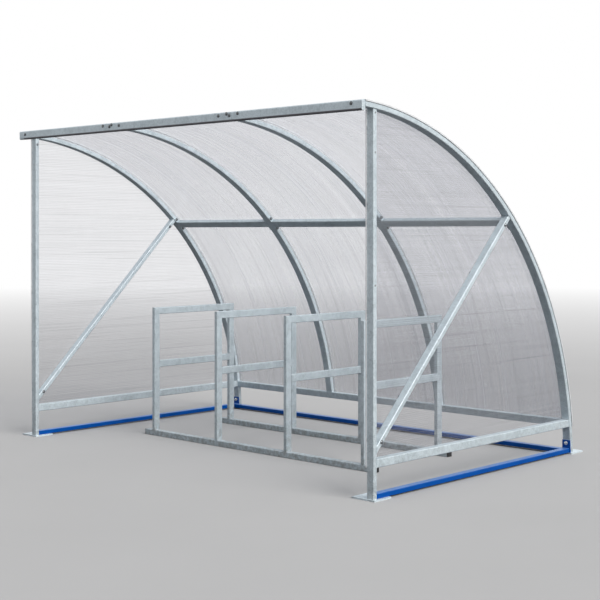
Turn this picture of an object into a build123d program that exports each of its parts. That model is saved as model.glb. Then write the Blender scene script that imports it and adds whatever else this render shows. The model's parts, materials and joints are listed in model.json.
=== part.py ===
"""Curved cycle shelter: tube frame, translucent sheets and a four-stand rack. Sizes in millimetres.

The frame is laid out from the front left post: X runs along the open front, Y runs back, Z up.
Everything is moved at the end so that the middle of the footprint is the origin.
"""

import math
import os

from build123d import *

# Main sizes of the shelter
FRAME_LENGTH = 3300.0  # outer face of one front post to the other
BAYS = 3
BEAM_TOP = 2250.0
BEAM_FORWARD = 75.0  # back of the beam in front of the posts

# Tube of the beam, the curved frames and the purlins: the wide side comes first
MAIN_WIDE = 60.0
MAIN_NARROW = 30.0

# Tube of the posts, rails, braces and rack
TUBE_WIDE = 50.0
TUBE_NARROW = 30.0

TUBE_WALL = 2.5
TUBE_CORNER = 5.0
BEAM_CORNER = 9.0
CUT_CORNER = 3.0  # flats for corners: curved frames, purlins, back rail, ground rails, rack rails

# The curved frames are arcs about one line, seen from the end
ARC_RADIUS = 2300.0  # middle of the tube
ARC_FORWARD = 205.0  # the arc's line in front of the posts
ARC_UNDER_BEAM = 8.6  # top of the curved frames under the top of the beam, behind it
ARC_FROM = -30.0  # degrees, past both ends that are cut off
ARC_TO = 100.0

# Base plates stand out on the same side of every foot
PLATE_X = 170.0
PLATE_Y = 150.0
PLATE_THICK = 10.0
PLATE_OUT_X = 15.0
PLATE_OUT_Y = 10.0

# Rails, purlins and braces
RAIL_BOTTOM = 185.0  # under the end rails and the low back rail
PURLIN_ANGLE = 45.8  # degrees up the arc
PURLIN_PLATE = 130.0  # length of the bolted plate on each end of a purlin
BRACE_START = 236.0  # height of the brace's lower line at the front of the posts
BRACE_SLOPE = 45.0
UPSTAND_HEIGHT = 55.0
FLAT_THICK = 5.0  # bolted plates

# Sheets and the strips over their joints
SHEET_THICK = 8.0
SHEET_JOINT = 10.0
STRIP_THICK = 3.0

# Rack
STANDS = 4
STAND_PITCH = 680.0
STAND_FRONT = 640.0
STAND_DEPTH = 815.0
STAND_TOP = 950.0
STAND_MID_TOP = 555.0
RACK_RAIL_HEIGHT = 40.0
RACK_RAIL_PAST = 78.0
CAP_THICK = 3.0
CAP_PLUG = 14.0

# Clearance where pieces that are seated on each other aren't the same shape
SEAT = 0.3

# Worked out from the sizes above
ARC_INSIDE = ARC_RADIUS - MAIN_NARROW / 2
ARC_OUTSIDE = ARC_RADIUS + MAIN_NARROW / 2
SHEET_OUTSIDE = ARC_OUTSIDE + SHEET_THICK
STRIP_OUTSIDE = SHEET_OUTSIDE + STRIP_THICK
REACH = 2 * STRIP_OUTSIDE
ARC_Y = -ARC_FORWARD
ARC_Z = BEAM_TOP - ARC_UNDER_BEAM - math.sqrt(ARC_OUTSIDE**2 - (ARC_FORWARD - BEAM_FORWARD) ** 2)
BEAM_FRONT = -BEAM_FORWARD - MAIN_NARROW
RAIL_MIDDLE = RAIL_BOTTOM + TUBE_WIDE / 2
RAIL_ANGLE = math.degrees(math.asin((RAIL_MIDDLE - ARC_Z) / ARC_RADIUS))
END_RIGHT = FRAME_LENGTH - TUBE_WIDE
HOOP_OUT = (MAIN_WIDE - TUBE_WIDE) / 2  # the wider tube past each side of a post
HOOP_LEFTS = [END_RIGHT / BAYS * i - HOOP_OUT for i in range(BAYS + 1)]
SHEETS_LEFT = -HOOP_OUT
SHEETS_RIGHT = FRAME_LENGTH + HOOP_OUT


def inside_y(z):
    """How far back the inside of the curved frames is at a height."""
    return ARC_Y + math.sqrt(ARC_INSIDE**2 - (z - ARC_Z) ** 2)


FOOT_Y = inside_y(PLATE_THICK)
GROUND_TOP = PLATE_THICK + TUBE_NARROW
UPSTAND_TOP = GROUND_TOP + UPSTAND_HEIGHT
UPSTAND_Y = min(inside_y(UPSTAND_TOP), FOOT_Y) - FLAT_THICK
MOVE_X = -(FRAME_LENGTH + 2 * PLATE_OUT_X - PLATE_X + TUBE_WIDE) / 2
MOVE_Y = -(BEAM_FRONT + FOOT_Y - PLATE_OUT_Y + PLATE_Y) / 2


def cut_rectangle(wide, narrow, cut):
    """Rectangle with its corners cut off at 45 degrees."""
    return chamfer(Rectangle(wide, narrow).vertices(), cut)


def bore(wide, narrow, corner, gap=0.0):
    """Inside of a tube with rounded corners, cut so that the wall keeps its thickness across them."""
    less = 2 * (TUBE_WALL + gap)
    return cut_rectangle(wide - less, narrow - less, (2 - math.sqrt(2)) * (corner - TUBE_WALL))


def tube_section(wide, narrow, corner=TUBE_CORNER):
    return RectangleRounded(wide, narrow, corner) - bore(wide, narrow, corner)


def square_bore(wide, narrow, gap=0.0):
    """Inside of a tube with cut corners."""
    less = 2 * (TUBE_WALL + gap)
    return Rectangle(wide - less, narrow - less)


def cut_section(wide, narrow):
    return cut_rectangle(wide, narrow, CUT_CORNER) - square_bore(wide, narrow)


def box(x0, x1, y0, y1, z0, z1):
    size = Box(x1 - x0, y1 - y0, z1 - z0)
    return Pos((x0 + x1) / 2, (y0 + y1) / 2, (z0 + z1) / 2) * size


def upright(x, y, z0, z1, section):
    return Pos(x, y, z0) * extrude(section, z1 - z0)


def along_x(x0, x1, y, z, section, turn=0.0):
    """Length of section along X; its first axis is up, or tipped back by turn degrees."""
    lean = math.radians(turn)
    plane = Plane(origin=(x0, y, z), x_dir=(0, -math.sin(lean), math.cos(lean)), z_dir=(1, 0, 0))
    return extrude(plane * section, x1 - x0)


def along_y(x, z, y0, y1, section):
    """Length of section along Y; its first axis is X."""
    return extrude(Plane(origin=(x, y0, z), x_dir=(1, 0, 0), z_dir=(0, 1, 0)) * section, y1 - y0)


def arc_point(radius, angle):
    turn = math.radians(angle)
    return ARC_Y + radius * math.cos(turn), ARC_Z + radius * math.sin(turn)


def swept(x, section, middle):
    """Turns a section, its first axis along X, about the arc's line."""
    y, z = arc_point(middle, ARC_FROM)
    turn = math.radians(ARC_FROM)
    plane = Plane(origin=(x, y, z), x_dir=(1, 0, 0), z_dir=(0, -math.sin(turn), math.cos(turn)))
    axis = Axis((0, ARC_Y, ARC_Z), (1, 0, 0))
    return revolve(plane * section, axis, revolution_arc=ARC_TO - ARC_FROM)


def disc(radius):
    """Everything inside a radius from the arc's line."""
    return Pos(FRAME_LENGTH / 2, ARC_Y, ARC_Z) * Rot(0, 90, 0) * Cylinder(radius, 2 * FRAME_LENGTH)


def above_rail(side):
    """Everything past one side of the low back rail: 1 is above it, -1 is past its underside."""
    y, z = arc_point(ARC_RADIUS, RAIL_ANGLE)
    turn = math.radians(RAIL_ANGLE)
    plane = Plane(origin=(0, y, z), x_dir=(1, 0, 0), z_dir=(0, -math.sin(turn), math.cos(turn)))
    return plane * Pos(0, 0, side * TUBE_WIDE / 2 + REACH / 2) * Box(2 * REACH, 2 * REACH, REACH)


def behind_beam():
    return box(-REACH, REACH, -BEAM_FORWARD, REACH, -REACH, REACH)


def hoop(left, lands_on_rail):
    """One curved frame; a middle one ends on the low back rail, an end one on its base plate."""
    arc = swept(left + MAIN_WIDE / 2, cut_section(MAIN_WIDE, MAIN_NARROW), ARC_RADIUS)
    foot = above_rail(1) if lands_on_rail else box(-REACH, REACH, -REACH, REACH, PLATE_THICK, REACH)
    return arc & behind_beam() & foot


def post(left):
    section = tube_section(TUBE_WIDE, TUBE_NARROW)
    return upright(left + TUBE_WIDE / 2, TUBE_NARROW / 2, PLATE_THICK, BEAM_TOP, section) & disc(ARC_INSIDE)


def base_plate(left, front):
    x1 = left + TUBE_WIDE + PLATE_OUT_X
    y0 = front - PLATE_OUT_Y
    return box(x1 - PLATE_X, x1, y0, y0 + PLATE_Y, 0, PLATE_THICK)


def bent_sheet(x0, x1, inside, thick):
    """Sheet or strip bent over the curved frames, from the beam down to the low back rail."""
    arc = swept((x0 + x1) / 2, Rectangle(x1 - x0, thick), inside + thick / 2)
    return arc & behind_beam() & above_rail(-1)


def tangent_bar(left, right, angle, section):
    """Straight bar along X, turned to lie under the sheets at an angle up the arc."""
    y, z = arc_point(ARC_RADIUS - SEAT, angle)
    return along_x(left, right, y, z, section, angle)


def purlin(left, right):
    """Bar between two curved frames, with a plate on each end that is bolted to the frame's side."""
    bar = tangent_bar(left, right, PURLIN_ANGLE, cut_section(MAIN_WIDE, MAIN_NARROW))
    plate = cut_rectangle(PURLIN_PLATE, MAIN_NARROW - 2 * SEAT, TUBE_CORNER)
    for start in (left, right - FLAT_THICK):
        bar += tangent_bar(start, start + FLAT_THICK, PURLIN_ANGLE, plate)
    return bar & disc(ARC_OUTSIDE - SEAT / 2)


def end_rail(left):
    section = tube_section(TUBE_WIDE, TUBE_WIDE)
    rail = along_y(left + TUBE_WIDE / 2, RAIL_MIDDLE, TUBE_NARROW, REACH, section)
    return rail & disc(ARC_INSIDE)


def end_brace(left):
    """Straight tube from the back of a post up to the inside of the curved frame."""
    slope = math.radians(BRACE_SLOPE)
    rise = BRACE_START + TUBE_NARROW / 2 / math.cos(slope)
    start = Plane(origin=(left + TUBE_WIDE / 2, 0, rise), x_dir=(1, 0, 0),
                  z_dir=(0, math.cos(slope), math.sin(slope)))
    tube = extrude(start * tube_section(TUBE_WIDE, TUBE_NARROW), REACH)
    return tube & disc(ARC_INSIDE) & box(-REACH, REACH, TUBE_NARROW, REACH, -REACH, REACH)


def end_panel(left):
    """Flat sheet on the left side of an end frame's post, rail and brace, up to the curve."""
    outline = box(left - SHEET_THICK, left, 0, REACH, RAIL_BOTTOM, BEAM_TOP)
    return outline & disc(ARC_INSIDE - 2 * SEAT)


def ground_rail(left):
    """Flat tube on the base plates, with an upturned plate bolted to the curved frame's foot."""
    middle, right = PLATE_THICK + TUBE_NARROW / 2, left + TUBE_WIDE
    section = cut_section(TUBE_WIDE, TUBE_NARROW)
    rail = along_y(left + TUBE_WIDE / 2, middle, TUBE_NARROW, UPSTAND_Y, section)
    front_plate = box(left, right, TUBE_NARROW, TUBE_NARROW + FLAT_THICK, PLATE_THICK, GROUND_TOP)
    upstand = box(left - HOOP_OUT, right + HOOP_OUT, UPSTAND_Y, REACH, PLATE_THICK, UPSTAND_TOP)
    return rail + front_plate + (upstand & disc(ARC_INSIDE))


def rack_stand(left):
    """Square-cornered frame of tube with a bar across its middle."""
    half = TUBE_WIDE / 2
    front, back = STAND_FRONT + half, STAND_FRONT + STAND_DEPTH - half
    x, top, foot = left + TUBE_NARROW / 2, STAND_TOP - half, RACK_RAIL_HEIGHT
    path = Polyline((x, front, foot), (x, front, top), (x, back, top), (x, back, foot))
    start = Plane(origin=(x, front, foot), x_dir=(0, 1, 0), z_dir=(0, 0, 1))
    tube = TUBE_WIDE, TUBE_NARROW, TUBE_CORNER
    skin = sweep(start * RectangleRounded(*tube), path, transition=Transition.RIGHT)
    inside = sweep(start * bore(*tube), path, transition=Transition.RIGHT)
    across = Plane(origin=(x, front + half, STAND_MID_TOP - half), x_dir=(0, 0, 1), z_dir=(0, 1, 0))
    bar = extrude(across * tube_section(TUBE_WIDE, TUBE_NARROW), back - front - TUBE_WIDE)
    return (skin - inside) + bar


def rack_rail(front):
    section = cut_section(RACK_RAIL_HEIGHT, TUBE_WIDE)
    return along_x(RACK_LEFT, RACK_RIGHT, front + TUBE_WIDE / 2, RACK_RAIL_HEIGHT / 2, section)


def end_cap(end, side, y, z, outline, inside):
    """Plug in the end of a tube along X; side is 1 at the right end and -1 at the left."""
    plate = along_x(0, CAP_THICK, y, z, outline)
    plug = along_x(-CAP_PLUG, 0, y, z, inside)
    cap = plate + plug
    if side < 0:
        cap = mirror(cap, Plane.YZ)
    return Pos(end, 0, 0) * cap


RACK_WIDTH = STAND_PITCH * (STANDS - 1) + TUBE_NARROW
STAND_LEFTS = [(FRAME_LENGTH - RACK_WIDTH) / 2 + STAND_PITCH * i for i in range(STANDS)]
RACK_LEFT = STAND_LEFTS[0] - RACK_RAIL_PAST
RACK_RIGHT = STAND_LEFTS[-1] + TUBE_NARROW + RACK_RAIL_PAST
STAND_BACK = STAND_FRONT + STAND_DEPTH - TUBE_WIDE

SIDES = {"left": 0.0, "right": END_RIGHT}
HOOP_NAMES = ["left_end", "mid_left", "mid_right", "right_end"]
BAY_NAMES = ["left", "middle", "right"]


def end_frames(parts):
    for side, left in SIDES.items():
        parts[f"front_post_{side}"] = post(left)
        parts[f"base_plate_front_{side}"] = base_plate(left, 0)
        parts[f"base_plate_rear_{side}"] = base_plate(left, FOOT_Y)
        parts[f"end_bottom_rail_{side}"] = end_rail(left)
        parts[f"end_brace_{side}"] = end_brace(left)
        parts[f"end_panel_{side}"] = end_panel(left)
        parts[f"ground_rail_{side}"] = ground_rail(left)


def curved_frames(parts):
    for name, left in zip(HOOP_NAMES, HOOP_LEFTS):
        parts[f"hoop_{name}"] = hoop(left, name.startswith("mid"))
        parts[f"joint_strip_{name}"] = bent_sheet(left, left + MAIN_WIDE, SHEET_OUTSIDE, STRIP_THICK)


def bays(parts):
    joints = [left + MAIN_WIDE / 2 for left in HOOP_LEFTS[1:-1]]
    lefts = [SHEETS_LEFT] + [x + SHEET_JOINT / 2 for x in joints]
    rights = [x - SHEET_JOINT / 2 for x in joints] + [SHEETS_RIGHT]
    for i, name in enumerate(BAY_NAMES):
        parts[f"purlin_{name}"] = purlin(HOOP_LEFTS[i] + MAIN_WIDE, HOOP_LEFTS[i + 1])
        parts[f"roof_sheet_{name}"] = bent_sheet(lefts[i], rights[i], ARC_OUTSIDE, SHEET_THICK)


def long_pieces(parts):
    inner = HOOP_LEFTS[0] + MAIN_WIDE, HOOP_LEFTS[-1]
    parts["low_back_rail"] = tangent_bar(*inner, RAIL_ANGLE, cut_section(TUBE_WIDE, TUBE_NARROW))
    parts["ground_rail_back"] = along_x(TUBE_WIDE, END_RIGHT, UPSTAND_Y - TUBE_WIDE / 2,
                                        PLATE_THICK + TUBE_NARROW / 2, cut_section(TUBE_NARROW, TUBE_WIDE))
    y, z = BEAM_FRONT + MAIN_NARROW / 2, BEAM_TOP - MAIN_WIDE / 2
    beam = MAIN_WIDE, MAIN_NARROW, BEAM_CORNER
    parts["front_beam"] = along_x(0, FRAME_LENGTH, y, z, tube_section(*beam))
    cap = RectangleRounded(*beam), bore(*beam, SEAT)
    parts["beam_end_cap_left"] = end_cap(0, -1, y, z, *cap)
    parts["beam_end_cap_right"] = end_cap(FRAME_LENGTH, 1, y, z, *cap)


def rack(parts):
    for i, left in enumerate(STAND_LEFTS):
        parts[f"rack_stand_{i + 1}"] = rack_stand(left)
    rail = RACK_RAIL_HEIGHT, TUBE_WIDE
    cap = cut_rectangle(*rail, CUT_CORNER), square_bore(*rail, SEAT)
    for row, front in {"front": STAND_FRONT, "rear": STAND_BACK}.items():
        parts[f"rack_rail_{row}"] = rack_rail(front)
        y, z = front + TUBE_WIDE / 2, RACK_RAIL_HEIGHT / 2
        parts[f"rack_cap_{row}_left"] = end_cap(RACK_LEFT, -1, y, z, *cap)
        parts[f"rack_cap_{row}_right"] = end_cap(RACK_RIGHT, 1, y, z, *cap)


def build():
    parts = {}
    for group in (end_frames, curved_frames, bays, long_pieces, rack):
        group(parts)
    return parts


os.makedirs("parts", exist_ok=True)
for node, shape in build().items():
    export_step(Pos(MOVE_X, MOVE_Y, 0) * shape, f"parts/{node}.step")
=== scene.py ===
"""Curved cycle shelter: finishes, fixings, welds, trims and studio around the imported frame."""

import json
import math

import bmesh
import bpy
from bpy.props import FloatProperty, FloatVectorProperty, IntProperty, PointerProperty
from mathutils import Matrix, Vector

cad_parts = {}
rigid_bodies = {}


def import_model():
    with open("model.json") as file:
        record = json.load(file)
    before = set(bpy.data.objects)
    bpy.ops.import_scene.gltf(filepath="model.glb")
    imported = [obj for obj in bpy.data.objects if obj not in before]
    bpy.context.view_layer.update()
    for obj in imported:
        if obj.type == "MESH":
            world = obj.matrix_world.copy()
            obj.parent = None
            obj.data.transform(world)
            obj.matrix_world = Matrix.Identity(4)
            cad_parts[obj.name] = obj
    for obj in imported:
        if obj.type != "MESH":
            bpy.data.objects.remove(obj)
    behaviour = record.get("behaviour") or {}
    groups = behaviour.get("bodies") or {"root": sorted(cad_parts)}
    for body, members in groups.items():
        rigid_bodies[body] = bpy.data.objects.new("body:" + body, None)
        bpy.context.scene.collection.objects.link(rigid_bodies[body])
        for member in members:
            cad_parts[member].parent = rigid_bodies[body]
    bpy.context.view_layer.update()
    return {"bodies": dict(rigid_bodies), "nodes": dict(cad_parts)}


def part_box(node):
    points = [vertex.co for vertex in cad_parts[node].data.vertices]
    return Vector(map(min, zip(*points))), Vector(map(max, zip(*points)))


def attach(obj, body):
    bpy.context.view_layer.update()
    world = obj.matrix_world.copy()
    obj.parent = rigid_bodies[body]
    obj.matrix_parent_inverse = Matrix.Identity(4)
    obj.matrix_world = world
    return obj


bl_info = {
    "name": "Cycle shelter",
    "version": (1, 0, 0),
    "blender": (4, 5, 0),
    "location": "3D View > Sidebar > Shelter",
    "description": "Finishes, fixings, welds and studio for a curved cycle shelter",
    "category": "Object",
}

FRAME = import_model()
NODES = FRAME["nodes"]

BODY = "root" if "root" in FRAME["bodies"] else next(iter(FRAME["bodies"]))
ENDS = ["left", "right"]
HOOPS = ["left_end", "mid_left", "mid_right", "right_end"]
BAYS = ["left", "middle", "right"]
STANDS = range(1, 5)

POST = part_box("front_post_left")
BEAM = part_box("front_beam")
ORIGIN = Vector((POST[0].x, POST[0].y, 0.0))  # front left corner of the frame, on the floor

# The curved frames' arc, seen from the end: it turns about a line in front of the posts
ARC_RADIUS = 2.300
TUBE_HALF, SHEET_THICK, STRIP_THICK = 0.015, 0.008, 0.003
TUBE_IN, TUBE_OUT = ARC_RADIUS - TUBE_HALF, ARC_RADIUS + TUBE_HALF
SHEET_OUT = TUBE_OUT + SHEET_THICK
STRIP_OUT = SHEET_OUT + STRIP_THICK
ARC_AHEAD = 0.205  # how far the line is in front of the posts
BEAM_DROP = 0.0086  # how far the curved frames' tops are below the beam's
ARC_Y = ORIGIN.y - ARC_AHEAD
BEAM_BACK = BEAM[1].y - ARC_Y
ARC_Z = BEAM[1].z - BEAM_DROP - math.sqrt(TUBE_OUT**2 - BEAM_BACK**2)

# Places on the arc, in degrees up from the back
RAIL_HEIGHT, RAIL_HALF = 0.210, 0.025  # the middle of the end rails, and half their height
PURLIN_TURN = 45.8
RAIL_TURN = math.degrees(math.asin((RAIL_HEIGHT - ARC_Z) / ARC_RADIUS))
ARC_LOW = RAIL_TURN - math.degrees(RAIL_HALF / STRIP_OUT)
ARC_HIGH = 90.0 - math.degrees(math.asin(BEAM_BACK / STRIP_OUT))

PLATE_NODES = [f"base_plate_{row}_{s}" for row in ("front", "rear") for s in ENDS]
STEEL_NODES = (
    [f"front_post_{s}" for s in ENDS]
    + [f"end_bottom_rail_{s}" for s in ENDS]
    + [f"end_brace_{s}" for s in ENDS]
    + [f"hoop_{n}" for n in HOOPS]
    + [f"purlin_{n}" for n in BAYS]
    + ["low_back_rail", "front_beam", "beam_end_cap_left", "beam_end_cap_right"]
)
BLUE_NODES = ["ground_rail_left", "ground_rail_right", "ground_rail_back"]
RACK_NODES = [f"rack_stand_{i}" for i in STANDS] + ["rack_rail_front", "rack_rail_rear"]
CAP_NODES = [f"rack_cap_{row}_{s}" for row in ("front", "rear") for s in ENDS]

WHITE = (1.0, 1.0, 1.0)
CLEAR = (0.982, 0.983, 0.988)  # what a face of a sheet or tape lets through of the daylight
# Pale blue of the painted highlight on the rails' dusty tops
DUST_AND_HIGHLIGHT_BLUE = (0.34, 0.60, 0.94)
SCUFF_BLUE = (0.10, 0.16, 0.30)
DIRT = (0.20, 0.185, 0.165)
# The pale tone paints the foot bolts' highlight
PLATED_DARK, PLATED_MID, PLATED_PAINTED_HIGHLIGHT = (0.17, 0.18, 0.19), (0.30, 0.32, 0.34), (0.85, 0.87, 0.88)
WELD_DULL, WELD_PALE = (0.33, 0.36, 0.39), (0.47, 0.51, 0.54)

SHARP_OVER = math.radians(35.0)  # edges that turn more than this stay sharp
ROUND_STEPS = 14  # sides of the washers and domed heads


def colour(name, text, value):
    return FloatVectorProperty(
        name=name, description=text, subtype="COLOR", size=3, min=0, max=1, default=value)


def length(name, text, value):
    return FloatProperty(name=name, description=text, unit="LENGTH", default=value)


def share(name, text, value):
    return FloatProperty(name=name, description=text, subtype="FACTOR", min=0, max=1, default=value)


class ShelterFinish(bpy.types.PropertyGroup):
    """Colours and surface sizes of the shelter."""

    steel: colour("Galvanised steel", "Colour of the zinc coating", (0.60, 0.68, 0.725))
    steel_dark: colour("Galvanised, dull", "Colour of the duller grains", (0.42, 0.49, 0.53))
    spangle: length("Spangle", "Width of the zinc grains", 0.020)
    blue: colour("Ground rail paint", "Colour of the painted ground rails", (0.0, 0.072, 0.34))
    sheet: colour("Sheet", "Milky tint of the sheets", (0.93, 0.94, 0.975))
    sheet_clear: colour(
        "Roof, seen through", "What each face of a roof sheet lets through", (0.968, 0.971, 0.983))
    panel_clear: colour(
        "Panel, seen through", "What each face of an end panel lets through", (0.965, 0.967, 0.975))
    sheet_cover: share("Roof cover", "How much each face of a roof sheet hides", 0.19)
    panel_cover: share("Panel cover", "How much each face of an end panel hides", 0.06)
    sheet_lines: share("Roof lines", "How dark the lines in the roof sheets are", 0.115)
    panel_lines: share("Panel lines", "How dark the lines in the end panels are", 0.09)
    flute: length("Flute", "Width of one channel of the sheets", 0.012)
    strip: colour("Joint strip", "Colour of the strips over the sheets", (0.80, 0.82, 0.84))
    cap: colour("Rack cap", "Colour of the rack's end caps", (0.018, 0.018, 0.019))
    # Painted shade: a dark strip along the beam's lower front edge
    seal: colour("Beam seal", "Colour of the seal under the beam", (0.10, 0.098, 0.11))
    rim: colour("Rim and tape", "Colour of the end panels' front strips and the tape", (0.93, 0.94, 0.95))


class ShelterFixings(bpy.types.PropertyGroup):
    """Sizes of bolts, screws, welds and trims."""

    bolt: length("Bolt head", "Radius of the foot bolts' heads, a share of it for the others", 0.0125)
    washer: length("Washer", "Radius of the foot bolts' washers", 0.0135)
    screw: length("Screw head", "Radius of the heads of the sheets' screws", 0.006)
    screws: IntProperty(name="Strip screws", description="Screws along each joint strip", default=9, min=2)
    weld: length("Weld", "Leg of the weld beads", 0.005)
    trim: length("Trim", "Thickness of the sheets' edge trims", 0.0015)
    tape: length("Tape", "Width of the sealing tape beside the curved frames", 0.018)


class ShelterStudio(bpy.types.PropertyGroup):
    """Camera, floor and light."""

    lens: FloatProperty(name="Lens", description="Focal length in millimetres", default=75.16)
    eye: FloatVectorProperty(
        name="Camera", description="Place of the camera", subtype="TRANSLATION", size=3,
        default=(6.2137, -6.4446, 1.5148))
    turn: FloatProperty(
        name="Turn", description="Turn of the camera about the vertical", subtype="ANGLE",
        default=math.radians(43.348))
    floor: colour("Floor", "Colour of the floor near the shelter", (0.44, 0.435, 0.43))
    sun: FloatProperty(name="Key light", description="Strength of the key light", default=3.5)
    sky: FloatProperty(name="Fill light", description="Strength of the light from all round", default=0.50)


def place(x, y, z):
    """A point given from the front left corner of the frame, in metres."""
    return ORIGIN + Vector((x, y, z))


def outward(degrees):
    """The way out from the arc's line, up from the back."""
    a = math.radians(degrees)
    return Vector((0.0, math.cos(a), math.sin(a)))


def on_arc(x, radius, degrees):
    """A point on the arc, x from the left end of the frame."""
    a = math.radians(degrees)
    return Vector((ORIGIN.x + x, ARC_Y + radius * math.cos(a), ARC_Z + radius * math.sin(a)))


def back_at(radius, z):
    """How far back an arc of this radius is at a height."""
    return ARC_Y + math.sqrt(radius**2 - (z - ARC_Z) ** 2)


def turned(axis, at):
    """Matrix that puts a shape made on +Z onto an axis at a point."""
    return Matrix.Translation(at) @ axis.to_track_quat("Z", "Y").to_matrix().to_4x4()


def darker(value, by):
    """A colour times a number, above 1 for a paler one."""
    return tuple(c * by for c in value)


# Materials


class Nodes:
    """Short ways to build the node tree of a material or a world."""

    def __init__(self, owner, end="OutputMaterial"):
        self.owner = owner
        owner.use_nodes = True
        self.tree = owner.node_tree
        self.tree.nodes.clear()
        self.out = self.add(end)
        self.coords = self.add("TexCoord").outputs
        self.where = self.coords["Object"]

    def add(self, kind, **inputs):
        node = self.tree.nodes.new(f"ShaderNode{kind}")
        for name, value in inputs.items():
            self.put(node.inputs[name.replace("_", " ")], value)
        return node

    def put(self, socket, value):
        """Links a socket, or sets it to a number or a colour."""
        if isinstance(value, bpy.types.NodeSocket):
            self.tree.links.new(value, socket)
        elif isinstance(value, tuple) and len(value) == 3 and socket.type == "RGBA":
            socket.default_value = (*value, 1.0)
        else:
            socket.default_value = value

    def stretched(self, x, y, z):
        """Object coordinates scaled by axis, for patterns that run one way."""
        return self.add("Mapping", Vector=self.where, Scale=(x, y, z)).outputs["Vector"]

    def noise(self, scale, detail=3.0, where=None):
        where = where or self.where
        return self.add("TexNoise", Vector=where, Scale=scale, Detail=detail, Roughness=0.55).outputs["Fac"]

    def grains(self, size, where):
        """A random number for each grain."""
        node = self.add("TexVoronoi", Vector=where, Scale=1.0 / size)
        return self.add("SeparateColor", Color=node.outputs["Color"]).outputs["Red"]

    def mapped(self, value, low, high, start=0.0, end=1.0):
        """Goes from low to high as the value goes from start to end."""
        node = self.add("MapRange", Value=value)
        for name, number in (("From Min", start), ("From Max", end), ("To Min", low), ("To Max", high)):
            node.inputs[name].default_value = number
        return node.outputs["Result"]

    def maths(self, operation, a, b, clamp=False):
        node = self.tree.nodes.new("ShaderNodeMath")
        node.operation, node.use_clamp = operation, clamp
        self.put(node.inputs[0], a)
        self.put(node.inputs[1], b)
        return node.outputs["Value"]

    def total(self, value, *others):
        for other in others:
            value = self.maths("ADD", value, other)
        return value

    def blend(self, factor, a, b, kind="MIX"):
        """Mixes two colours."""
        node = self.tree.nodes.new("ShaderNodeMix")
        node.data_type, node.blend_type = "RGBA", kind
        self.put(node.inputs["Factor"], factor)
        self.put(node.inputs["A"], a)
        self.put(node.inputs["B"], b)
        return node.outputs["Result"]

    def both(self, factor, a, b):
        """Mixes two shaders."""
        node = self.add("MixShader", Fac=factor)
        self.put(node.inputs[1], a)
        self.put(node.inputs[2], b)
        return node.outputs["Shader"]

    def shader(self, kind, **inputs):
        return self.add(kind, **inputs).outputs[0]

    def bump(self, height, strength, distance, under=None):
        node = self.add("Bump", Height=height, Strength=strength, Distance=distance)
        if under is not None:
            self.put(node.inputs["Normal"], under)
        return node.outputs["Normal"]

    def low(self, height):
        """1 at the floor, falling to 0 at a height, for dirt round the feet."""
        z = self.add("SeparateXYZ", Vector=self.where).outputs["Z"]
        return self.mapped(z, 1.0, 0.0, 0.0, height)

    def looked_at(self):
        """1 for what the camera sees, straight or in a mirror or glass, and 0 for the light on things."""
        path = self.add("LightPath").outputs
        seen = self.maths("MAXIMUM", path["Is Camera Ray"], path["Is Glossy Ray"], clamp=True)
        seen = self.maths("MAXIMUM", seen, path["Is Transmission Ray"], clamp=True)
        return self.maths("SUBTRACT", seen, path["Is Diffuse Ray"], clamp=True)

    def milk(self, share_through, base, normal):
        """A milky body, lit on its face and, by a share, through its back."""
        face = self.shader("BsdfDiffuse", Color=base, Normal=normal)
        back = self.shader("BsdfTranslucent", Color=base, Normal=normal)
        return self.both(share_through, face, back)

    def daylit(self, shader):
        """Lets daylight through a clear or milky sheet onto what is behind it."""
        path = self.add("LightPath").outputs
        light = self.maths("MAXIMUM", path["Is Shadow Ray"], path["Is Diffuse Ray"])
        return self.both(light, shader, self.shader("BsdfTransparent", Color=CLEAR))

    def finish(self, shader):
        """Puts a shader on the surface, and hands back the material."""
        self.tree.links.new(shader, self.out.inputs["Surface"])
        return self.owner

    def solid(self, base, rough, normal, **constants):
        """Finishes with an opaque surface."""
        return self.finish(
            self.shader("BsdfPrincipled", Base_Color=base, Roughness=rough, Normal=normal, **constants))


def galvanised(name, pale, dull, size, dirt=0.5):
    """Hot dip zinc: spangled grains, cloudy patches, fine runs and dirt near the floor."""
    n = Nodes(bpy.data.materials.new(name))
    drift = n.add("TexNoise", Vector=n.where, Scale=70.0, Detail=2.0).outputs["Color"]
    wobble = n.add("VectorMath", Vector=n.where)
    wobble.operation = "ADD"
    n.put(wobble.inputs[1], n.blend(1.0, drift, darker((0.5, 0.5, 0.5), size), "MULTIPLY"))
    grain = n.grains(size, wobble.outputs["Vector"])
    cloud = n.noise(9.0, 4.0)
    fleck = n.noise(150.0, 3.0)
    fine = n.noise(260.0, 2.0)
    tone = n.total(
        n.mapped(grain, 0.0, 0.6),
        n.mapped(cloud, 0.0, 0.6, 0.32, 0.68),
        n.mapped(fleck, 0.0, 1.0, 0.34, 0.66),
    )
    base = n.blend(n.mapped(tone, 0.0, 1.0, 0.35, 1.50), dull, pale)
    stain = n.maths("MULTIPLY", n.low(0.30), n.mapped(n.noise(38.0, 5.0), 0.0, dirt, 0.38, 0.72))
    base = n.blend(stain, base, DIRT)
    runs = n.noise(1.0, 3.0, n.stretched(55.0, 55.0, 3.0))
    base = n.blend(n.mapped(runs, 0.0, 0.12, 0.56, 0.74), base, darker(pale, 1.18))
    rough = n.mapped(n.total(grain, fine), 0.36, 0.56, 0.4, 1.6)
    normal = n.bump(n.total(n.maths("MULTIPLY", grain, 0.4), fine), 0.22, 0.0006)
    return n.solid(base, rough, normal, Metallic=0.3)


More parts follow.
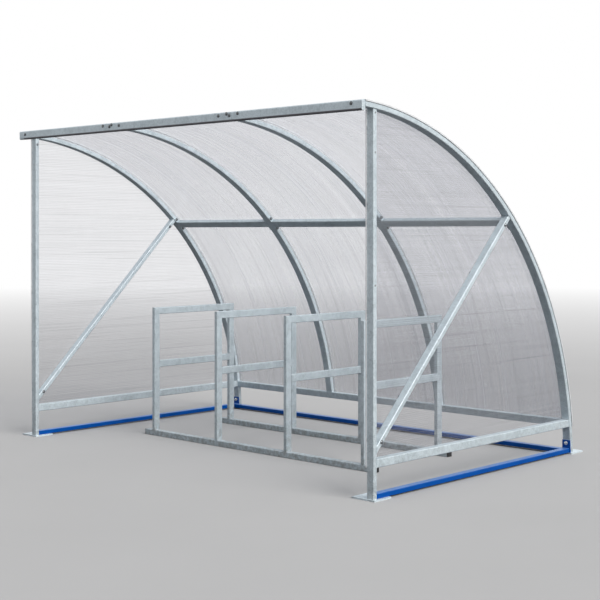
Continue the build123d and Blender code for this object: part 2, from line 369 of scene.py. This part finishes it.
def painted(name, paint):
    """Gloss paint with a little orange peel, a painted highlight on the top faces that are also dusty and
    rougher, and scuffs down to grey.
    """
    n = Nodes(bpy.data.materials.new(name))
    cloud = n.noise(6.0, 3.0)
    base = n.blend(n.mapped(cloud, 0.0, 1.0, 0.3, 0.7), darker(paint, 0.86), paint)
    # Painted highlight: faces that look up turn pale blue, and their dusty patches are rougher
    up = n.add("SeparateXYZ", Vector=n.add("NewGeometry").outputs["Normal"]).outputs["Z"]
    dust_and_highlight_patches = n.mapped(n.noise(24.0, 4.0), 0.16, 0.38, 0.3, 0.75)
    dust_and_highlight = n.maths("MULTIPLY", n.mapped(up, 0.0, 1.0, 0.6, 1.0), dust_and_highlight_patches)
    base = n.blend(dust_and_highlight, base, DUST_AND_HIGHLIGHT_BLUE)
    scuff = n.mapped(n.noise(1.0, 6.0, n.stretched(120.0, 26.0, 120.0)), 0.0, 0.4, 0.72, 0.80)
    base = n.blend(scuff, base, SCUFF_BLUE)
    rough = n.total(n.mapped(cloud, 0.24, 0.36), n.maths("MULTIPLY", dust_and_highlight, 0.35))
    normal = n.bump(n.noise(330.0, 2.0), 0.12, 0.0004)
    return n.solid(base, rough, normal, Specular_IOR_Level=0.22)


def twin_wall(name, tint, clear, cover, flute, level, contrast):
    """Clear twin-wall sheet, lit from both sides; its channels run level or along the arc."""
    n = Nodes(bpy.data.materials.new(name))
    slow = 0.006  # the patterns hardly change along the channels
    across = n.stretched(slow, slow, 1.0) if level else n.stretched(1.0, slow, slow)
    streak = n.noise(110.0, 1.0, across) if level else n.noise(19.0, 3.0, across)
    line = n.noise(160.0 if level else 48.0, 1.0, across)
    broad = n.noise(5.0, 2.0, across)
    haze = n.noise(1.6, 3.0)
    channel = n.add("TexWave", Vector=across, Scale=math.pi / (10.0 * flute))
    channel.bands_direction = "Z" if level else "X"
    web = n.mapped(channel.outputs["Fac"], 0.0, 1.0, 0.62, 0.97)
    slant = n.add("LayerWeight", Blend=0.5).outputs["Facing"]
    normal = n.bump(web, 0.14, 0.0006, n.bump(streak, 0.15, 0.0006))

    # The milky body, and how much of the view through the sheet it covers
    warm = (tint[0] * 1.04, tint[1] * 1.01, tint[2])
    base = n.blend(n.mapped(broad, 0.0, 1.0, 0.3, 0.7), darker(tint, 0.92), warm)
    amount = n.total(
        n.mapped(streak, -0.5 * cover, 0.5 * cover, 0.3, 0.7),
        n.mapped(web, -0.2 * cover, 0.5 * cover),
        n.mapped(haze, 0.75 * cover, 1.25 * cover, 0.3, 0.7),
        n.mapped(line, 0.0, 0.5 * cover, 0.60, 0.70),
        n.mapped(slant, 0.0, 0.14, 0.45, 0.95),
    )

    # The clear part, darkened along the streaks, lines and webs
    tone = n.blend(n.mapped(streak, 0.0, 1.0, 0.35, 0.65), darker(clear, 1.0 - contrast), clear)
    marks = (
        (n.mapped(broad, 0.0, 1.0, 0.35, 0.65), 0.5),
        (n.mapped(line, 1.0, 0.0, 0.30, 0.42), 1.2),
        (n.mapped(web, 0.0, 0.35), 1.0),
    )
    for mark, depth in marks:
        tone = n.blend(mark, tone, darker(clear, 1.0 - depth * contrast))
    sheet = n.both(amount, n.shader("BsdfTransparent", Color=tone), n.milk(0.6, base, normal))

    # The gloss, on the outer side of each face alone
    rough = n.mapped(streak, 0.10, 0.22)
    gloss = n.shader("BsdfGlossy", Color=(0.95, 0.96, 1.0), Roughness=rough, Normal=normal)
    front = n.maths("SUBTRACT", 1.0, n.add("NewGeometry").outputs["Backfacing"])
    mirror = n.mapped(n.add("Fresnel", IOR=1.42, Normal=normal).outputs["Fac"], 0.0, 0.38)
    return n.finish(n.daylit(n.both(n.maths("MULTIPLY", front, mirror), sheet, gloss)))


def drawn_metal(name, tone):
    """Mill finish strip with draw lines along its length and a few dull spots."""
    n = Nodes(bpy.data.materials.new(name))
    lines = n.noise(1.0, 3.0, n.stretched(900.0, 4.0, 4.0))
    cloud = n.noise(14.0, 4.0)
    base = n.blend(n.mapped(cloud, 0.0, 1.0, 0.35, 0.7), darker(tone, 0.84), tone)
    base = n.blend(n.mapped(lines, 0.0, 0.16, 0.4, 0.7), base, darker(tone, 0.75))
    rough = n.mapped(n.total(lines, cloud), 0.3, 0.5, 0.6, 1.4)
    normal = n.bump(lines, 0.15, 0.0003)
    return n.solid(base, rough, normal, Metallic=0.35)


def moulded(name, tone):
    """Plastic or rubber with a fine grain and dusty patches."""
    n = Nodes(bpy.data.materials.new(name))
    cloud = n.noise(60.0, 4.0)
    dusty = tuple(c * 0.9 + 0.05 for c in tone)
    base = n.blend(n.mapped(cloud, 0.0, 0.7, 0.45, 0.75), tone, dusty)
    rough = n.mapped(cloud, 0.4, 0.62)
    normal = n.bump(n.noise(900.0, 2.0), 0.2, 0.0003)
    return n.solid(base, rough, normal)


def milky(name, tone):
    """Pale tape that daylight comes through, a little uneven along its length."""
    n = Nodes(bpy.data.materials.new(name))
    cloud = n.noise(30.0, 3.0)
    base = n.blend(n.mapped(cloud, 0.0, 1.0, 0.35, 0.65), darker(tone, 0.9), tone)
    normal = n.bump(n.noise(500.0, 2.0), 0.15, 0.0003)
    return n.finish(n.daylit(n.milk(0.75, base, normal)))


def plated(name, tone=PLATED_MID):
    """Zinc plating of bolts and screws, with darker worn patches."""
    n = Nodes(bpy.data.materials.new(name))
    cloud = n.noise(160.0, 4.0)
    base = n.blend(n.mapped(cloud, 0.0, 1.0, 0.35, 0.65), darker(tone, 0.55), tone)
    rough = n.mapped(cloud, 0.2, 0.34)
    normal = n.bump(cloud, 0.1, 0.0003)
    return n.solid(base, rough, normal, Metallic=0.7)


def weld_metal(name):
    """Dull rippled zinc over a weld bead."""
    n = Nodes(bpy.data.materials.new(name))
    ripple = n.noise(420.0, 2.0)
    cloud = n.noise(45.0, 3.0)
    base = n.blend(n.mapped(cloud, 0.0, 1.0, 0.35, 0.65), WELD_DULL, WELD_PALE)
    rough = n.mapped(ripple, 0.42, 0.62)
    normal = n.bump(ripple, 0.6, 0.0012)
    return n.solid(base, rough, normal, Metallic=0.3)


def studio_floor(name, near):
    """Pale gritty floor that fades into the white background, and gives little light back from below."""
    n = Nodes(bpy.data.materials.new(name))
    grit = n.noise(160.0, 3.0)
    patch = n.noise(0.7, 3.0)
    base = n.blend(n.mapped(grit, 0.0, 0.5), near, darker(near, 0.9))
    base = n.blend(n.mapped(patch, 0.0, 0.25, 0.35, 0.65), base, darker(near, 1.08))
    lit = n.shader("BsdfPrincipled", Base_Color=base, Roughness=0.9, Normal=n.bump(grit, 0.12, 0.002))
    under = n.shader("BsdfDiffuse", Color=darker(near, 0.32))
    pale = n.both(n.add("LightPath").outputs["Is Camera Ray"], under, lit)
    far = n.add("VectorMath", Vector=n.where)
    far.operation = "LENGTH"
    away = n.mapped(far.outputs["Value"], 0.0, 1.0, 5.0, 26.0)
    white = n.shader("Emission", Color=WHITE, Strength=1.0)
    return n.finish(n.both(n.maths("MULTIPLY", away, n.looked_at()), pale, white))


def dress(names, material):
    """Gives CAD nodes a finish."""
    for name in names:
        slots = NODES[name].data.materials
        slots.clear()
        slots.append(material)


def once(name, make, *args):
    """A material by name, made the first time it is asked for."""
    return bpy.data.materials.get(name) or make(name, *args)


# New pieces


def shown(name, bm, material):
    """Turns a bmesh into an object with a finish."""
    mesh = bpy.data.meshes.new(name)
    bm.to_mesh(mesh)
    bm.free()
    mesh.materials.append(material)
    obj = bpy.data.objects.new(name, mesh)
    bpy.context.scene.collection.objects.link(obj)
    return obj


def piece(name, bm, material):
    """Turns a bmesh into a finished piece that rides on the frame."""
    bmesh.ops.remove_doubles(bm, verts=bm.verts, dist=1e-6)
    bmesh.ops.recalc_face_normals(bm, faces=bm.faces)
    obj = shown(name, bm, material)
    obj.data.set_sharp_from_angle(angle=SHARP_OVER)
    obj.data.polygons.foreach_set("use_smooth", [True] * len(obj.data.polygons))
    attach(obj, BODY)


def tag_made(bm):
    """Tags every face so far, so that the next shape can tell its own faces."""
    for face in bm.faces:
        face.tag = True


def spun(bm, outline, matrix):
    """Spins an outline of (radius, height) points once round, and puts it at its place."""
    verts = [bm.verts.new((r, 0.0, h)) for r, h in outline]
    edges = [bm.edges.new(pair) for pair in zip(verts, verts[1:])]
    made = bmesh.ops.spin(
        bm, geom=verts + edges, cent=(0, 0, 0), axis=(0, 0, 1), angle=math.tau, steps=ROUND_STEPS,
        use_merge=True)
    own = set(verts) | {g for g in made["geom_last"] if isinstance(g, bmesh.types.BMVert)}
    own |= {v for f in bm.faces if not f.tag for v in f.verts}
    bmesh.ops.transform(bm, matrix=matrix, verts=list(own))
    tag_made(bm)


def domed_bolt(bm, at, axis, head, washer):
    """Domed head on a flat washer."""
    t = washer * 0.16
    dome = ((1.02, 0.0), (1.0, 0.12), (0.8, 0.32), (0.45, 0.44), (0.0, 0.48))
    outline = [(washer, 0.0), (washer, t)] + [(head * r, t + head * h) for r, h in dome]
    spun(bm, outline, turned(axis, at))


def hex_bolt(bm, at, axis, head, washer):
    """Six-sided head with a bevelled rim, on a washer."""
    t = washer * 0.16
    spun(bm, [(washer, 0.0), (washer, t), (head * 0.6, t)], turned(axis, at))
    depth = head * 0.75
    hexagon = bmesh.ops.create_cone(
        bm, cap_ends=True, segments=6, radius1=head, radius2=head, depth=depth)
    edges = {e for v in hexagon["verts"] for e in v.link_edges}
    rim = [e for e in edges if all(v.co.z > 0 for v in e.verts)]
    bevelled = bmesh.ops.bevel(
        bm, geom=rim, offset=head * 0.14, segments=2, profile=0.5, affect="EDGES", material=-1)
    own = {v for v in hexagon["verts"] if v.is_valid} | set(bevelled["verts"])
    lift = Matrix.Translation((0, 0, t + depth / 2))
    bmesh.ops.transform(bm, matrix=turned(axis, at) @ lift, verts=list(own))
    tag_made(bm)


def drawn_along(bm, outline, run):
    """Draws an outline along a straight run, with both ends closed."""
    face = bm.faces.new([bm.verts.new(point) for point in outline])
    drawn = bmesh.ops.extrude_face_region(bm, geom=[face], use_keep_orig=True)
    moved = [g for g in drawn["geom"] if isinstance(g, bmesh.types.BMVert)]
    bmesh.ops.translate(bm, vec=run, verts=moved)


def slab(bm, low, high):
    """Box between two corners."""
    low, high = Vector(low), Vector(high)
    made = bmesh.ops.create_cube(bm, size=1.0)
    bmesh.ops.scale(bm, vec=high - low, verts=made["verts"])
    bmesh.ops.translate(bm, vec=(low + high) / 2, verts=made["verts"])


def bent_bar(bm, x0, x1, inside, outside):
    """Flat bar bent along the sheets' arc, from the low back rail up to the beam."""
    start = outward(ARC_LOW)
    line = Vector((0.0, ARC_Y, ARC_Z))
    corners = ((x0, inside), (x1, inside), (x1, outside), (x0, outside))
    verts = [bm.verts.new(line + Vector((x, 0, 0)) + start * r) for x, r in corners]
    edges = [bm.edges.new((verts[i], verts[i - 1])) for i in range(4)]
    sweep = math.radians(ARC_HIGH - ARC_LOW)
    bmesh.ops.spin(bm, geom=verts + edges, cent=line, axis=(1, 0, 0), angle=sweep, steps=64)
    bmesh.ops.holes_fill(bm, edges=bm.edges, sides=4)


def bead(bm, start, end, side, up, size):
    """Weld bead along an inside corner: side and up point out along its two faces."""
    marks = ((0.0, 0.0), (1.0, 0.0), (0.78, 0.42), (0.42, 0.78), (0.0, 1.0))
    corner = [side * size * a + up * size * b for a, b in marks]
    drawn_along(bm, [start + c for c in corner], end - start)


def ring_bead(bm, low, high, size):
    """Weld bead round an upright tube's foot, given the foot's two corners at one height."""
    verts = bmesh.ops.create_grid(bm, x_segments=1, y_segments=1, size=0.5)["verts"]
    wide, deep = high.x - low.x + 2 * size, high.y - low.y + 2 * size
    bmesh.ops.scale(bm, vec=(wide, deep, 1.0), verts=verts)
    middle = (low + high) / 2
    bmesh.ops.translate(bm, vec=(middle.x, middle.y, low.z), verts=verts)
    bmesh.ops.bevel(
        bm, geom=verts, offset=size * 2, segments=3, profile=0.5, affect="VERTICES", material=-1)
    face = next(f for f in bm.faces if not f.tag)
    for inward, lift in ((0.25, 0.5), (0.35, 0.35), (0.4, 0.15)):
        bmesh.ops.inset_region(bm, faces=[face], thickness=size * inward, depth=0.0, use_even_offset=True)
        bmesh.ops.translate(bm, vec=(0, 0, size * lift), verts=face.verts)
    bmesh.ops.delete(bm, geom=[face], context="FACES_ONLY")
    tag_made(bm)


def settings(context):
    """The three groups of sizes and colours."""
    return context.scene.shelter_finish, context.scene.shelter_fixings, context.scene.shelter_studio


class PieceOperator:
    """Shared by every operator: run makes the pieces, and an error there stops the script."""

    bl_options = {"REGISTER", "UNDO"}

    def execute(self, context):
        self.run(context, *settings(context))
        return {"FINISHED"}


class SHELTER_OT_galvanise(PieceOperator, bpy.types.Operator):
    """Give the posts, beam, curved frames, purlins, rails, braces and base plates their zinc finish"""

    bl_idname = "shelter.galvanise"
    bl_label = "Galvanised frame"

    def run(self, context, finish, fixings, studio):
        pale, dull, size = tuple(finish.steel), tuple(finish.steel_dark), finish.spangle
        dress(STEEL_NODES, once("galvanised_frame", galvanised, pale, dull, size))
        # Painted light: the base plates get a paler copy of the zinc for their lit tops, with less dirt
        dress(PLATE_NODES, once("galvanised_plate", galvanised, darker(pale, 1.2), pale, size, 0.25))


class SHELTER_OT_paint_rails(PieceOperator, bpy.types.Operator):
    """Paint the ground rails"""

    bl_idname = "shelter.paint_rails"
    bl_label = "Painted ground rails"

    def run(self, context, finish, fixings, studio):
        dress(BLUE_NODES, once("blue_gloss", painted, tuple(finish.blue)))


class SHELTER_OT_glaze(PieceOperator, bpy.types.Operator):
    """Give the roof sheets and the end panels their twin-wall look, and the strips their drawn metal"""

    bl_idname = "shelter.glaze"
    bl_label = "Sheets and strips"

    def run(self, context, finish, fixings, studio):
        tint, flute = tuple(finish.sheet), finish.flute
        clear, cover, lines = tuple(finish.sheet_clear), finish.sheet_cover, finish.sheet_lines
        roof = once("roof_twin_wall", twin_wall, tint, clear, cover, flute, False, lines)
        clear, cover, lines = tuple(finish.panel_clear), finish.panel_cover, finish.panel_lines
        panel = once("panel_twin_wall", twin_wall, tint, clear, cover, flute, True, lines)
        dress([f"roof_sheet_{b}" for b in BAYS], roof)
        dress([f"end_panel_{s}" for s in ENDS], panel)
        dress([f"joint_strip_{n}" for n in HOOPS], once("drawn_strip", drawn_metal, tuple(finish.strip)))


class SHELTER_OT_finish_rack(PieceOperator, bpy.types.Operator):
    """Give the rack its zinc finish and black end caps"""

    bl_idname = "shelter.finish_rack"
    bl_label = "Rack"

    def run(self, context, finish, fixings, studio):
        pale, dull = darker(finish.steel, 0.95), darker(finish.steel_dark, 0.95)
        dress(RACK_NODES, once("galvanised_rack", galvanised, pale, dull, finish.spangle, 0.7))
        dress(CAP_NODES, once("black_moulded", moulded, tuple(finish.cap)))


class SHELTER_OT_bolt_beam(PieceOperator, bpy.types.Operator):
    """Put the domed bolts on the front of the beam, in a cluster at each curved frame"""

    bl_idname = "shelter.bolt_beam"
    bl_label = "Beam bolts"

    # Distance from the left end of the frame, and height
    marks = (
        (0.067, 2.225),
        (0.986, 2.233), (1.056, 2.226), (1.079, 2.237), (1.159, 2.228),
        (2.138, 2.230), (2.211, 2.238), (2.235, 2.227), (2.309, 2.235),
        (3.224, 2.232),
    )

    def run(self, context, finish, fixings, studio):
        bm = bmesh.new()
        for x, z in self.marks:
            at = Vector((ORIGIN.x + x, BEAM[0].y, z))
            domed_bolt(bm, at, Vector((0, -1, 0)), fixings.bolt * 0.72, fixings.bolt * 0.88)
        piece("beam_bolts", bm, once("dark_fixing", plated, PLATED_DARK))


class SHELTER_OT_shade_beam(PieceOperator, bpy.types.Operator):
    """Put a dark strip along the lower front edge of the beam, right of the left post: painted shade for the
    dark line under the beam
    """

    bl_idname = "shelter.seal_beam"
    bl_label = "Beam seal"

    # The dark strip's section, back and up from the beam's lower front edge
    section = (
        (-0.0012, 0.0105), (-0.0012, 0.0040), (0.0022, 0.0006), (0.0065, -0.0012), (0.0180, -0.0012),
        (0.0180, -0.0001), (0.0090, -0.0001), (0.0026, 0.0026), (-0.0001, 0.0090), (-0.0001, 0.0105),
    )

    def run(self, context, finish, fixings, studio):
        low, high = BEAM
        start = POST[1].x
        bm = bmesh.new()
        outline = [(start, low.y + y, low.z + z) for y, z in self.section]
        drawn_along(bm, outline, Vector((high.x - start, 0, 0)))
        # Painted shade: the dark strip stands in for the shade under the beam
        piece("beam_shade_strip", bm, once("dark_seal", moulded, tuple(finish.seal)))


class SHELTER_OT_bolt_purlins(PieceOperator, bpy.types.Operator):
    """Bolt the purlins' end plates to the sides of the curved frames"""

    bl_idname = "shelter.bolt_purlins"
    bl_label = "Purlin bolts"

    plate = 0.005  # thickness of the end plates
    reach = 0.050  # from the plate's middle to each bolt, along the curved frame

    def run(self, context, finish, fixings, studio):
        turn = math.degrees(self.reach / ARC_RADIUS)
        for bay in BAYS:
            low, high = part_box(f"purlin_{bay}")
            bm = bmesh.new()
            for x, axis in ((low.x + self.plate, 1), (high.x - self.plate, -1)):
                for angle in (PURLIN_TURN - turn, PURLIN_TURN + turn):
                    at = on_arc(x - ORIGIN.x, ARC_RADIUS, angle)
                    hex_bolt(bm, at, Vector((axis, 0, 0)), fixings.bolt * 0.8, fixings.bolt)
            piece(f"purlin_bolts_{bay}", bm, once("plated_fixing", plated))


class SHELTER_OT_bolt_feet(PieceOperator, bpy.types.Operator):
    """Bolt the ground rails' upturned plates to the rear feet"""

    bl_idname = "shelter.bolt_feet"
    bl_label = "Foot bolts"

    height = 0.073
    ahead = 0.0096  # from the upturned plate's back edge to its front face, which carries the bolt

    def run(self, context, finish, fixings, studio):
        for side in ENDS:
            low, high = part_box(f"ground_rail_{side}")
            at = Vector(((low.x + high.x) / 2, high.y - self.ahead, self.height))
            bm = bmesh.new()
            hex_bolt(bm, at, Vector((0, -1, 0)), fixings.bolt, fixings.washer)
            # Painted highlight: the foot bolts' near-white zinc stands in for the light they catch
            piece(f"foot_bolt_{side}", bm, once("bright_fixing", plated, PLATED_PAINTED_HIGHLIGHT))


class SHELTER_OT_bolt_braces(PieceOperator, bpy.types.Operator):
    """Bolt both ends of the braces, and put the screws in the posts"""

    bl_idname = "shelter.bolt_braces"
    bl_label = "Brace bolts and post screws"

    # Distance back from the post's front face, and height
    brace_ends = ((0.070, 0.327), (1.300, 1.557))

    # Height, and size against the sheet screws
    post_screws = {"left": ((2.159, 1.6),), "right": ((2.184, 1.0), (1.960, 1.0), (1.212, 1.0))}

    def run(self, context, finish, fixings, studio):
        for side in ENDS:
            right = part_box(f"front_post_{side}")[1].x - ORIGIN.x
            bm = bmesh.new()
            for y, z in self.brace_ends:
                domed_bolt(bm, place(right, y, z), Vector((1, 0, 0)), fixings.bolt * 0.8, fixings.bolt)
            for z, scale in self.post_screws[side]:
                size = fixings.screw * scale
                domed_bolt(bm, place(right, 0.015, z), Vector((1, 0, 0)), size * 0.8, size)
            piece(f"end_frame_fixings_{side}", bm, once("plated_fixing", plated))


class SHELTER_OT_screw_strips(PieceOperator, bpy.types.Operator):
    """Put the sealed screws along the joint strips"""

    bl_idname = "shelter.screw_strips"
    bl_label = "Strip screws"

    first, last = 11.0, 82.0  # degrees up from the back

    def run(self, context, finish, fixings, studio):
        for name in HOOPS:
            low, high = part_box(f"joint_strip_{name}")
            middle = (low.x + high.x) / 2 - ORIGIN.x
            bm = bmesh.new()
            for i in range(fixings.screws):
                angle = self.first + (self.last - self.first) * i / (fixings.screws - 1)
                at = on_arc(middle, STRIP_OUT, angle)
                hex_bolt(bm, at, outward(angle), fixings.screw, fixings.screw * 1.5)
            piece(f"strip_screws_{name}", bm, once("plated_fixing", plated))


class SHELTER_OT_trim_sheets(PieceOperator, bpy.types.Operator):
    """Close the sheets' edges: arcs at both ends, lips under the roof, strips on the panels' fronts"""

    bl_idname = "shelter.trim_sheets"
    bl_label = "Edge trims"

    end_cover = 0.0055  # how far the end arcs reach in over the sheets' edges
    gap = 0.0001  # between a trim and the sheet or panel that it closes
    side_short, top_short = 0.0003, 0.003  # how far the panels' strips stop short of their edges

    def run(self, context, finish, fixings, studio):
        metal = once("drawn_strip", drawn_metal, tuple(finish.strip))
        rim = once("pale_rim", moulded, tuple(finish.rim))
        for side in ENDS:
            piece(f"sheet_end_trim_{side}", self.end_arc(side, fixings.trim), metal)
            piece(f"panel_front_trim_{side}", self.front_strip(side, fixings.trim), rim)
        for bay, before, after in zip(BAYS, HOOPS, HOOPS[1:]):
            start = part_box(f"joint_strip_{before}")[1].x
            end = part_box(f"joint_strip_{after}")[0].x
            piece(f"sheet_low_trim_{bay}", self.low_lip(start, end, fixings.trim), metal)

    def end_arc(self, side, thick):
        """Arc over the end of a sheet and its joint strip."""
        low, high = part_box(f"joint_strip_{side}_end")
        x0, x1 = (low.x - thick, low.x) if side == "left" else (high.x, high.x + thick)
        bm = bmesh.new()
        bent_bar(bm, x0, x1, SHEET_OUT - self.end_cover, STRIP_OUT)
        return bm

    def front_strip(self, side, thick):
        """Upright strip on the front edge of an end panel."""
        low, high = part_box(f"end_panel_{side}")
        bm = bmesh.new()
        back = low.y - self.gap
        slab(bm, (low.x, low.y - thick, low.z), (high.x - self.side_short, back, high.z - self.top_short))
        return bm

    def low_lip(self, start, end, thick):
        """Lip round the lower outer edge of a roof sheet, from one joint strip to the next."""
        gap = self.gap
        # The lip's section, out and up from that edge
        section = (
            (-0.0105, -thick), (0.0015, -thick), (0.0015, 0.020), (gap, 0.020), (gap, -gap), (-0.0105, -gap))
        out, up = outward(RAIL_TURN), outward(RAIL_TURN + 90.0)
        foot = on_arc(start - ORIGIN.x, SHEET_OUT, RAIL_TURN) - up * RAIL_HALF
        bm = bmesh.new()
        drawn_along(bm, [foot + out * r + up * t for r, t in section], Vector((end - start, 0, 0)))
        return bm


class SHELTER_OT_bed_sheets(PieceOperator, bpy.types.Operator):
    """Lay the pale sealing tape under the sheets, along both sides of the curved frames"""

    bl_idname = "shelter.bed_sheets"
    bl_label = "Sheet tape"

    # The tape's two faces, below the frames' outside: the sheets are faceted and dip 0.25 mm below it
    under, over = 0.0017, 0.0004
    tuck = 0.0005  # how far the tape reaches in over the frames

    def run(self, context, finish, fixings, studio):
        tape = once("milky_tape", milky, tuple(finish.rim))
        for bay, before, after in zip(BAYS, HOOPS, HOOPS[1:]):
            bm = bmesh.new()
            for x, out in ((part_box(f"hoop_{before}")[1].x, 1), (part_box(f"hoop_{after}")[0].x, -1)):
                x0, x1 = sorted((x - out * self.tuck, x + out * fixings.tape))
                bent_bar(bm, x0, x1, TUBE_OUT - self.under, TUBE_OUT - self.over)
            piece(f"sheet_tape_{bay}", bm, tape)


class SHELTER_OT_screw_panels(PieceOperator, bpy.types.Operator):
    """Screw the end panels to the posts, rails and braces from outside"""

    bl_idname = "shelter.screw_panels"
    bl_label = "Panel screws"

    # Distance back from the post's front face, and height: up the post, along the rail, up the brace
    marks = (
        [(0.015, z) for z in (0.34, 0.70, 1.06, 1.42, 1.78, 2.10)]
        + [(y, RAIL_HEIGHT) for y in (0.35, 0.75, 1.15, 1.55, 1.92)]
        + [(y, 0.257 + y) for y in (0.30, 0.65, 1.00)]
    )

    def run(self, context, finish, fixings, studio):
        for side in ENDS:
            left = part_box(f"end_panel_{side}")[0].x - ORIGIN.x
            bm = bmesh.new()
            for y, z in self.marks:
                domed_bolt(bm, place(left, y, z), Vector((-1, 0, 0)), fixings.screw, fixings.screw * 1.6)
            piece(f"panel_screws_{side}", bm, once("plated_fixing", plated))


class SHELTER_OT_weld(PieceOperator, bpy.types.Operator):
    """Run the weld beads at the feet, the rails and the rack"""

    bl_idname = "shelter.weld"
    bl_label = "Welds"

    middle_bar = ((0.505, -1), (0.555, 1))  # heights of its two faces, and the way each one looks
    leg = 0.050  # depth of a stand's legs
    rounding = 0.004  # the beads stop short of the tubes' rounded corners
    stand_rounding = 0.003

    def run(self, context, finish, fixings, studio):
        metal = once("weld_bead", weld_metal)
        for side in ENDS:
            bm = bmesh.new()
            self.feet(bm, side, fixings.weld)
            self.rail_ends(bm, side, fixings.weld)
            piece(f"end_frame_welds_{side}", bm, metal)
        bm = bmesh.new()
        for i in STANDS:
            self.stand(bm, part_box(f"rack_stand_{i}"), fixings.weld)
        piece("rack_welds", bm, metal)

    def feet(self, bm, side, size):
        """Rings round the feet of a post and of an end frame."""
        low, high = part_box(f"front_post_{side}")
        ring_bead(bm, low, Vector((high.x, high.y, low.z)), size)
        low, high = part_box(f"hoop_{side}_end")
        front = Vector((low.x, back_at(TUBE_IN, low.z), low.z))
        back = Vector((high.x, back_at(TUBE_OUT, low.z), low.z))
        ring_bead(bm, front, back, size)

    def rail_ends(self, bm, side, size):
        """Beads over and under both ends of an end rail."""
        low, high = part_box(f"end_bottom_rail_{side}")
        x0, x1 = low.x + self.rounding, high.x - self.rounding
        for z, up in ((low.z, -1), (high.z, 1)):
            for y, out in ((low.y, 1), (back_at(TUBE_IN, z), -1)):
                self.cross_bead(bm, x0, x1, y, z, out, up, size)

    def stand(self, bm, stand, size):
        """Beads beside a stand's feet on the rack's rails, and at the ends of its middle bar."""
        low, high = stand
        for row in ("front", "rear"):
            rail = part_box(f"rack_rail_{row}")
            for x, out in ((low.x, -1), (high.x, 1)):
                start = Vector((x, rail[0].y + self.rounding, rail[1].z))
                end = Vector((x, rail[1].y - self.rounding, rail[1].z))
                bead(bm, start, end, Vector((out, 0, 0)), Vector((0, 0, 1)), size)
        x0, x1 = low.x + self.stand_rounding, high.x - self.stand_rounding
        for y, out in ((low.y + self.leg, 1), (high.y - self.leg, -1)):
            for z, up in self.middle_bar:
                self.cross_bead(bm, x0, x1, y, z, out, up, size)

    def cross_bead(self, bm, x0, x1, y, z, out, up, size):
        """Bead across the end of a bar that runs from front to back."""
        bead(bm, Vector((x0, y, z)), Vector((x1, y, z)), Vector((0, out, 0)), Vector((0, 0, up)), size)


class SHELTER_OT_stage(PieceOperator, bpy.types.Operator):
    """Set the floor, the light and the camera"""

    bl_idname = "shelter.stage"
    bl_label = "Studio"

    key_way = (0.84, -0.08, 0.535)
    key_spread = math.radians(40.0)
    key_tint = (1.0, 0.975, 0.94)
    sky_tint = (0.92, 0.97, 1.05)
    sky_level, sky_top = 0.3, 1.5  # the fill light's strength from the sides and from above
    camera_shift = -0.1132
    camera_pitch = math.radians(90.0 - 0.021)

    def run(self, context, finish, fixings, studio):
        self.floor(studio)
        self.light(context, studio)
        self.camera(context, studio)
        context.scene.view_settings.view_transform = "Standard"

    def floor(self, studio):
        bm = bmesh.new()
        bmesh.ops.create_circle(bm, cap_ends=True, segments=96, radius=60.0)
        floor = shown("floor", bm, studio_floor("floor", tuple(studio.floor)))

    def light(self, context, studio):
        world = bpy.data.worlds.new("studio")
        context.scene.world = world
        n = Nodes(world, "OutputWorld")
        up = n.add("SeparateXYZ", Vector=n.coords["Generated"]).outputs["Z"]
        level, top = (darker(self.sky_tint, studio.sky * by) for by in (self.sky_level, self.sky_top))
        sky = n.blend(n.looked_at(), n.blend(up, level, top), WHITE)
        n.finish(n.shader("Background", Color=sky))
        lamp = bpy.data.lights.new("key", "SUN")
        lamp.energy = studio.sun
        lamp.angle = self.key_spread
        lamp.color = self.key_tint
        key = bpy.data.objects.new("key", lamp)
        key.rotation_euler = Vector(self.key_way).to_track_quat("Z", "Y").to_euler()
        context.scene.collection.objects.link(key)

    def camera(self, context, studio):
        data = bpy.data.cameras.new("camera")
        data.lens = studio.lens
        data.sensor_width = 36.0
        data.shift_y = self.camera_shift
        data.clip_end = 200.0
        camera = bpy.data.objects.new("camera", data)
        camera.location = studio.eye
        camera.rotation_euler = (self.camera_pitch, 0.0, studio.turn)
        context.scene.collection.objects.link(camera)
        context.scene.camera = camera


OPERATORS = (
    SHELTER_OT_galvanise,
    SHELTER_OT_paint_rails,
    SHELTER_OT_glaze,
    SHELTER_OT_finish_rack,
    SHELTER_OT_bolt_beam,
    SHELTER_OT_shade_beam,
    SHELTER_OT_bolt_purlins,
    SHELTER_OT_bolt_feet,
    SHELTER_OT_bolt_braces,
    SHELTER_OT_screw_strips,
    SHELTER_OT_trim_sheets,
    SHELTER_OT_bed_sheets,
    SHELTER_OT_screw_panels,
    SHELTER_OT_weld,
    SHELTER_OT_stage,
)


class SHELTER_PT_panel(bpy.types.Panel):
    """Buttons and sizes of the shelter"""

    bl_label = "Shelter"
    bl_idname = "SHELTER_PT_panel"
    bl_space_type = "VIEW_3D"
    bl_region_type = "UI"
    bl_category = "Shelter"

    def draw(self, context):
        for group in settings(context):
            box = self.layout.box()
            for name in group.__annotations__:
                box.prop(group, name)
        for operator in OPERATORS:
            self.layout.operator(operator.bl_idname)


GROUPS = {
    "shelter_finish": ShelterFinish,
    "shelter_fixings": ShelterFixings,
    "shelter_studio": ShelterStudio,
}


def register():
    for cls in (*GROUPS.values(), *OPERATORS, SHELTER_PT_panel):
        bpy.utils.register_class(cls)
    for name, group in GROUPS.items():
        setattr(bpy.types.Scene, name, PointerProperty(type=group))


def unregister():
    for name in GROUPS:
        delattr(bpy.types.Scene, name)
    for cls in (SHELTER_PT_panel, *reversed(OPERATORS), *GROUPS.values()):
        bpy.utils.unregister_class(cls)


def main():
    register()
    for operator in OPERATORS:
        family, name = operator.bl_idname.split(".")
        getattr(getattr(bpy.ops, family), name)()


if __name__ == "__main__":
    main()
